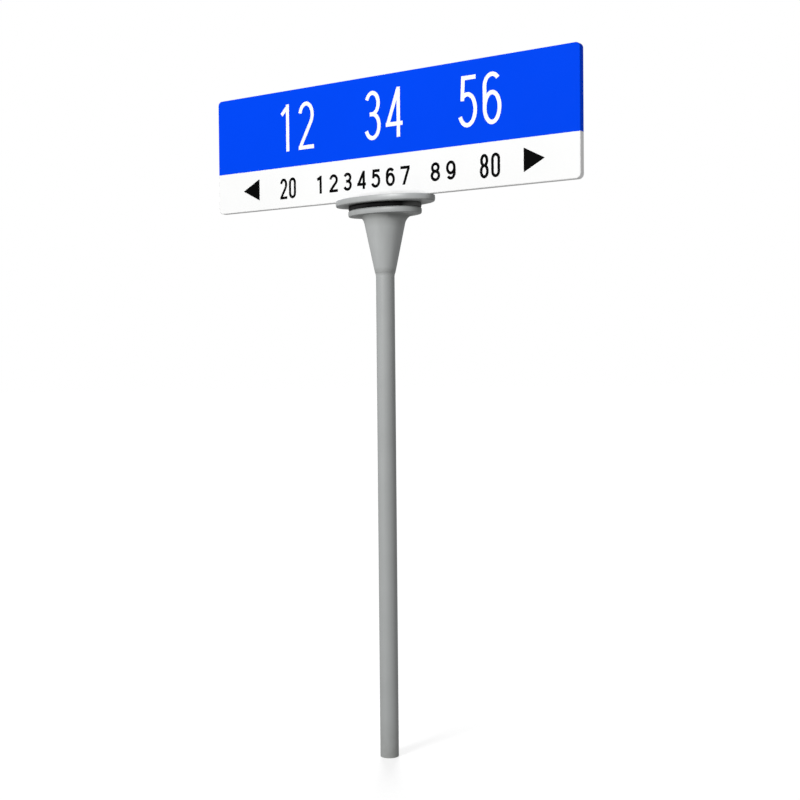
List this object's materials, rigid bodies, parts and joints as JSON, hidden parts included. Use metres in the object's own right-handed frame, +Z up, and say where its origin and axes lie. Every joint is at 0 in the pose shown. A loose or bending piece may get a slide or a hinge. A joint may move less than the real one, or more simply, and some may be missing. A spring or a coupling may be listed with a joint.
{
  "type": "street name sign on a post",
  "caption": "Two-sided street name sign: a long flat two-band board standing centred on a round post, with an oval seat, a pad and a flared neck between them.",
  "frame": {"origin": "centre of the post's foot, on the ground", "axes": "+Z up along the post, +X along the board to the right of its front face, front face towards -Y"},
  "size_m": [1.8, 0.244, 2.789],
  "materials": {
    "grey_paint": "satin grey paint over steel and cast metal, faintly uneven",
    "black_rubber": "matt black rubber",
    "bare_aluminium": "mill finish sheet and bars inside the board",
    "blue_sheeting": "bright blue reflective sheeting, even, with a soft gloss",
    "white_sheeting": "white reflective sheeting, even, with a soft gloss",
    "black_film": "black cut film"
  },
  "bodies": {
    "root": {"post_tube": "grey_paint", "neck_weld": "grey_paint", "flared_neck": "grey_paint", "neck_flange": "grey_paint", "rubber_gasket": "black_rubber", "seat_plate": "grey_paint", "seat_tongue": "bare_aluminium", "bottom_rail": "bare_aluminium", "top_rail": "bare_aluminium", "left_stile": "bare_aluminium", "right_stile": "bare_aluminium", "left_upright": "bare_aluminium", "right_upright": "bare_aluminium", "front_shell": "bare_aluminium", "back_shell": "bare_aluminium", "front_blue_sheeting": "blue_sheeting", "front_white_sheeting": "white_sheeting", "back_blue_sheeting": "blue_sheeting", "back_white_sheeting": "white_sheeting", "front_left_arrow": "black_film", "front_right_arrow": "black_film", "back_left_arrow": "black_film", "back_right_arrow": "black_film"}
  },
  "joints": []
}
